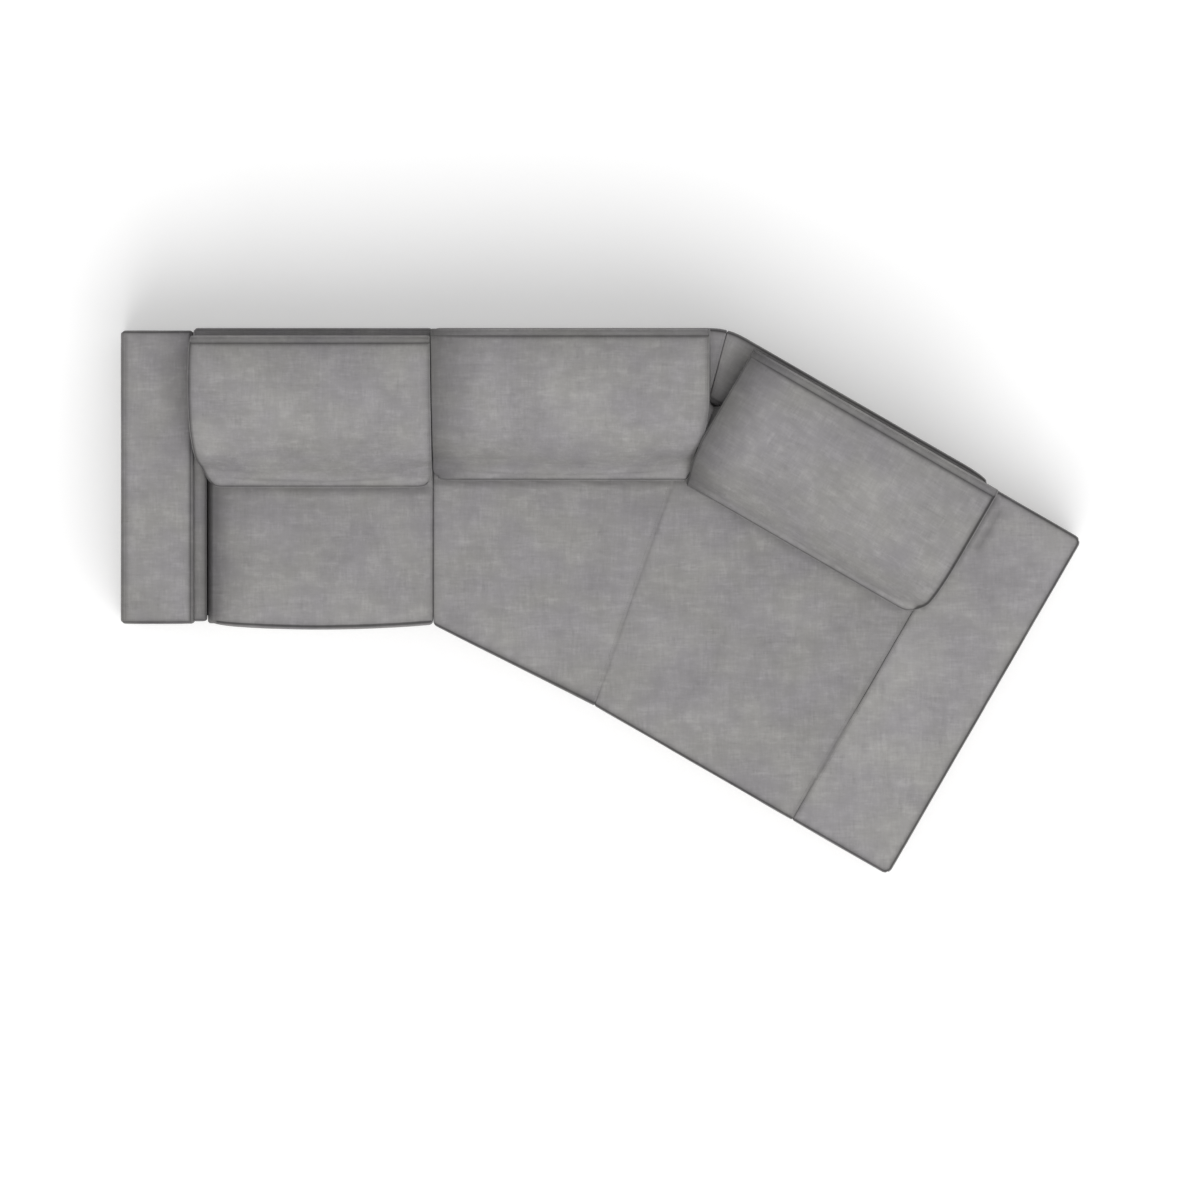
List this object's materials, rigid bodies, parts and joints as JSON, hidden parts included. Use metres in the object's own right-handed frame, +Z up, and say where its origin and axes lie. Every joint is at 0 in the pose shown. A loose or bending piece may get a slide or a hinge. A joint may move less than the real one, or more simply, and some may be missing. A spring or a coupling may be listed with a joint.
{
  "type": "sectional sofa",
  "caption": "Low angled sectional sofa with one arm, a pull-out seat, a wing bent forward that ends in an open platform, and deep loose back cushions.",
  "frame": {"origin": "middle of the plan's bounding box, on the floor", "axes": "+Z up, +Y to the back of the left and middle seats, +X from the arm to the wing, along the object's longest side"},
  "size_m": [3.3506, 1.9024, 0.8514],
  "materials": {
    "upholstery": "mid grey woven velour over foam, soft streaks",
    "timber": "planed pine boards and birch plywood, unfinished",
    "spring_steel": "zigzag spring wire, lightly oiled",
    "zinc_steel": "zinc plated pressed steel",
    "foot_plastic": "matt black moulded plastic"
  },
  "bodies": {
    "sofa": {"arm_cover": "upholstery", "arm_frame": "timber", "arm_inner_pad": "upholstery", "corner_side_rail": "timber", "cross_rail_1": "timber", "cross_rail_2": "timber", "end_panel": "upholstery", "end_rail": "timber", "foot_arm_back": "foot_plastic", "foot_arm_front": "foot_plastic", "foot_corner": "foot_plastic", "foot_end_back": "foot_plastic", "foot_end_front": "foot_plastic", "foot_left_back": "foot_plastic", "foot_left_front": "foot_plastic", "foot_middle_back": "foot_plastic", "foot_middle_front": "foot_plastic", "foot_seam_front": "foot_plastic", "joint_catch_back": "zinc_steel", "joint_catch_front": "zinc_steel", "joint_hook_back": "zinc_steel", "joint_hook_front": "zinc_steel", "left_back_cover": "upholstery", "left_back_cushion": "upholstery", "left_back_frame": "timber", "left_back_rail": "timber", "left_low_front_rail": "timber", "left_side_rail_arm": "timber", "left_side_rail_open": "timber", "middle_back_cover": "upholstery", "middle_back_cushion": "upholstery", "middle_back_frame": "timber", "middle_back_rail": "timber", "middle_front_panel": "upholstery", "middle_front_rail": "timber", "middle_seat_pad": "upholstery", "middle_seat_springs": "spring_steel", "platform_back_panel": "upholstery", "platform_back_rail": "timber", "platform_deck": "timber", "platform_pad": "upholstery", "right_back_cover": "upholstery", "right_back_cushion": "upholstery", "right_back_frame": "timber", "right_back_rail": "timber", "right_front_panel": "upholstery", "right_front_rail": "timber", "right_seat_pad": "upholstery", "right_seat_springs": "spring_steel", "runner_channel_arm": "zinc_steel", "runner_channel_open": "zinc_steel"},
    "pull_out_seat": {"carriage_back": "timber", "carriage_front": "timber", "carriage_side_arm": "timber", "carriage_side_open": "timber", "left_front_panel": "upholstery", "left_seat_pad": "upholstery", "left_seat_springs": "spring_steel", "runner_slide_arm": "zinc_steel", "runner_slide_open": "zinc_steel"}
  },
  "joints": [
    {"name": "seat_slide", "type": "slide", "parent": "sofa", "child": "pull_out_seat", "axis": [0, -1, 0], "range_m": [0, 0.15]}
  ]
}
